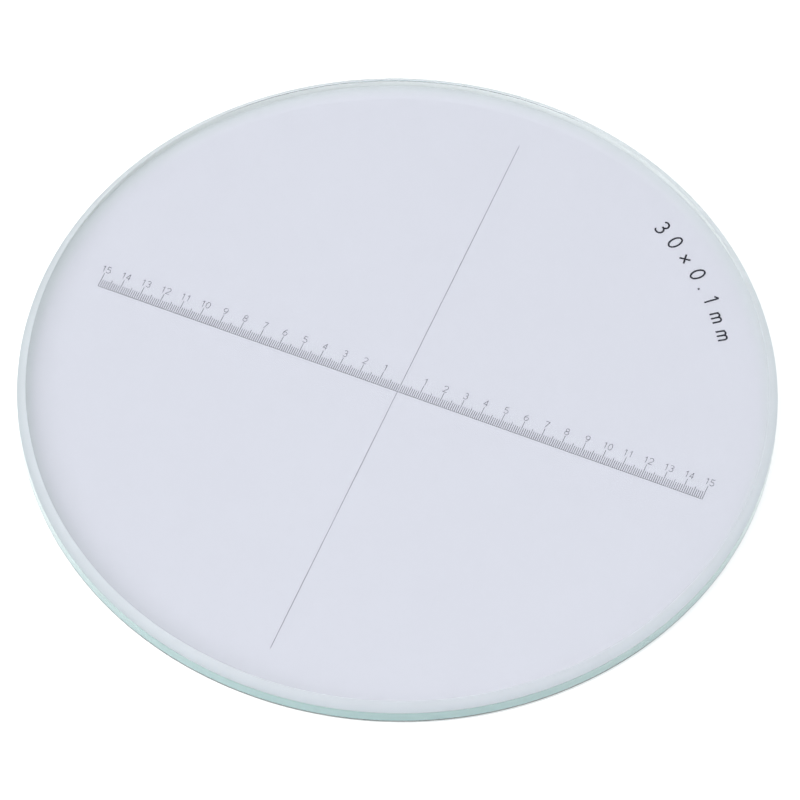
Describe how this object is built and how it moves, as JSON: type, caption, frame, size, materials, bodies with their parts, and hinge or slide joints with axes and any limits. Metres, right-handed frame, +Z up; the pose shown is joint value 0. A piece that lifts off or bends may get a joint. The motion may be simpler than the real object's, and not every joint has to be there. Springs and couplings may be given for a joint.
{
  "type": "contact reticle",
  "caption": "Round clear glass scale disc with chamfered ground rim; a fine printed scale with numerals, a centre line and a legend lie on its underside.",
  "frame": {"origin": "centre of the underside of the film, on the surface that the disc lies on", "axes": "+X along the scale towards the right-hand half, +Y from the scale to its numerals, +Z up out of the polished top face"},
  "size_m": [0.0348, 0.0348, 0.0013],
  "materials": {
    "glass": "clear polished faces, satin ground and chamfered rim",
    "film": "dark vacuum-deposited metal film, low reflection"
  },
  "bodies": {
    "root": {"glass_disc": "glass", "scale_graduations": "film", "centre_line_upper": "film", "centre_line_lower": "film", "numeral_left_1_ones": "film", "numeral_right_1_ones": "film", "numeral_left_2_ones": "film", "numeral_right_2_ones": "film", "numeral_left_3_ones": "film", "numeral_right_3_ones": "film", "numeral_left_4_ones": "film", "numeral_right_4_ones": "film", "numeral_left_5_ones": "film", "numeral_right_5_ones": "film", "numeral_left_6_ones": "film", "numeral_right_6_ones": "film", "numeral_left_7_ones": "film", "numeral_right_7_ones": "film", "numeral_left_8_ones": "film", "numeral_right_8_ones": "film", "numeral_left_9_ones": "film", "numeral_right_9_ones": "film", "numeral_left_10_tens": "film", "numeral_left_10_ones": "film", "numeral_right_10_tens": "film", "numeral_right_10_ones": "film", "numeral_left_11_tens": "film", "numeral_left_11_ones": "film", "numeral_right_11_tens": "film", "numeral_right_11_ones": "film", "numeral_left_12_tens": "film", "numeral_left_12_ones": "film", "numeral_right_12_tens": "film", "numeral_right_12_ones": "film", "numeral_left_13_tens": "film", "numeral_left_13_ones": "film", "numeral_right_13_tens": "film", "numeral_right_13_ones": "film", "numeral_left_14_tens": "film", "numeral_left_14_ones": "film", "numeral_right_14_tens": "film", "numeral_right_14_ones": "film", "numeral_left_15_tens": "film", "numeral_left_15_ones": "film", "numeral_right_15_tens": "film", "numeral_right_15_ones": "film", "legend_character_1": "film", "legend_character_2": "film", "legend_character_3": "film", "legend_character_4": "film", "legend_character_5": "film", "legend_character_6": "film", "legend_character_7": "film", "legend_character_8": "film"}
  },
  "joints": []
}
